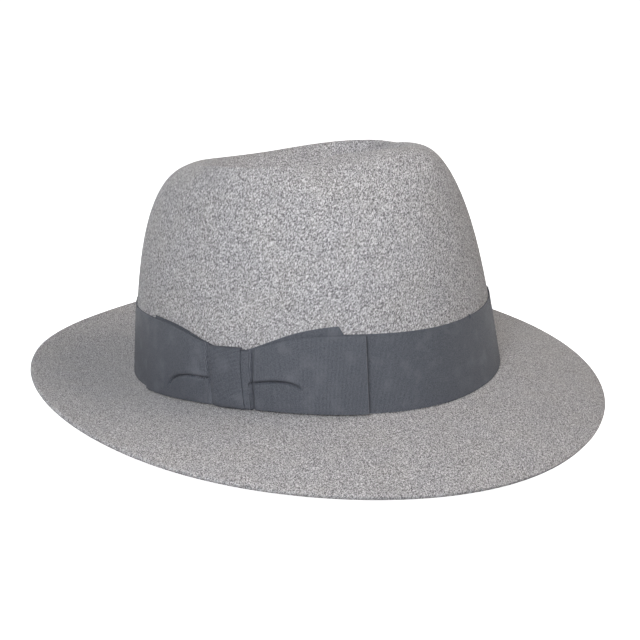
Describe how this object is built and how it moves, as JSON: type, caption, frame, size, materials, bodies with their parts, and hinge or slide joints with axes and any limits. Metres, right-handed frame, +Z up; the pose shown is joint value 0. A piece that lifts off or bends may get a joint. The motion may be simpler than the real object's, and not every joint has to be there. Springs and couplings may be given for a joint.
{
  "type": "fedora hat",
  "caption": "Grey mottled felt fedora with a dented tapered crown, a brim turned down in front, a dark grosgrain ribbon with a flat side bow, and a leather sweatband and lining inside.",
  "frame": {"origin": "on the table under the middle of the brim", "axes": "+Z up, -Y towards the front of the hat, +X towards the wearer's left"},
  "size_m": [0.295, 0.3186, 0.1362],
  "materials": {
    "felt": "mottled brushed felt",
    "grosgrain": "ribbed grosgrain",
    "thread": "matte thread",
    "sweatband_leather": "smooth satin leather",
    "tape": "woven tape",
    "reed": "matte",
    "trim_ribbon": "satin ribbon",
    "lining_satin": "satin",
    "piping": "satin cord"
  },
  "bodies": {
    "root": {"felt_body": "felt", "hat_ribbon": "grosgrain", "bow_backing": "grosgrain", "bow_rear_loop": "grosgrain", "bow_front_loop": "grosgrain", "bow_knot": "grosgrain", "ribbon_tacks": "thread", "sweatband": "sweatband_leather", "sweatband_tape": "tape", "sweatband_reed": "reed", "sweatband_stitching": "thread", "back_seam_tape": "tape", "back_bow": "trim_ribbon", "back_bow_knot": "trim_ribbon", "lining_side": "lining_satin", "lining_tip": "lining_satin", "lining_piping": "piping"}
  },
  "joints": []
}
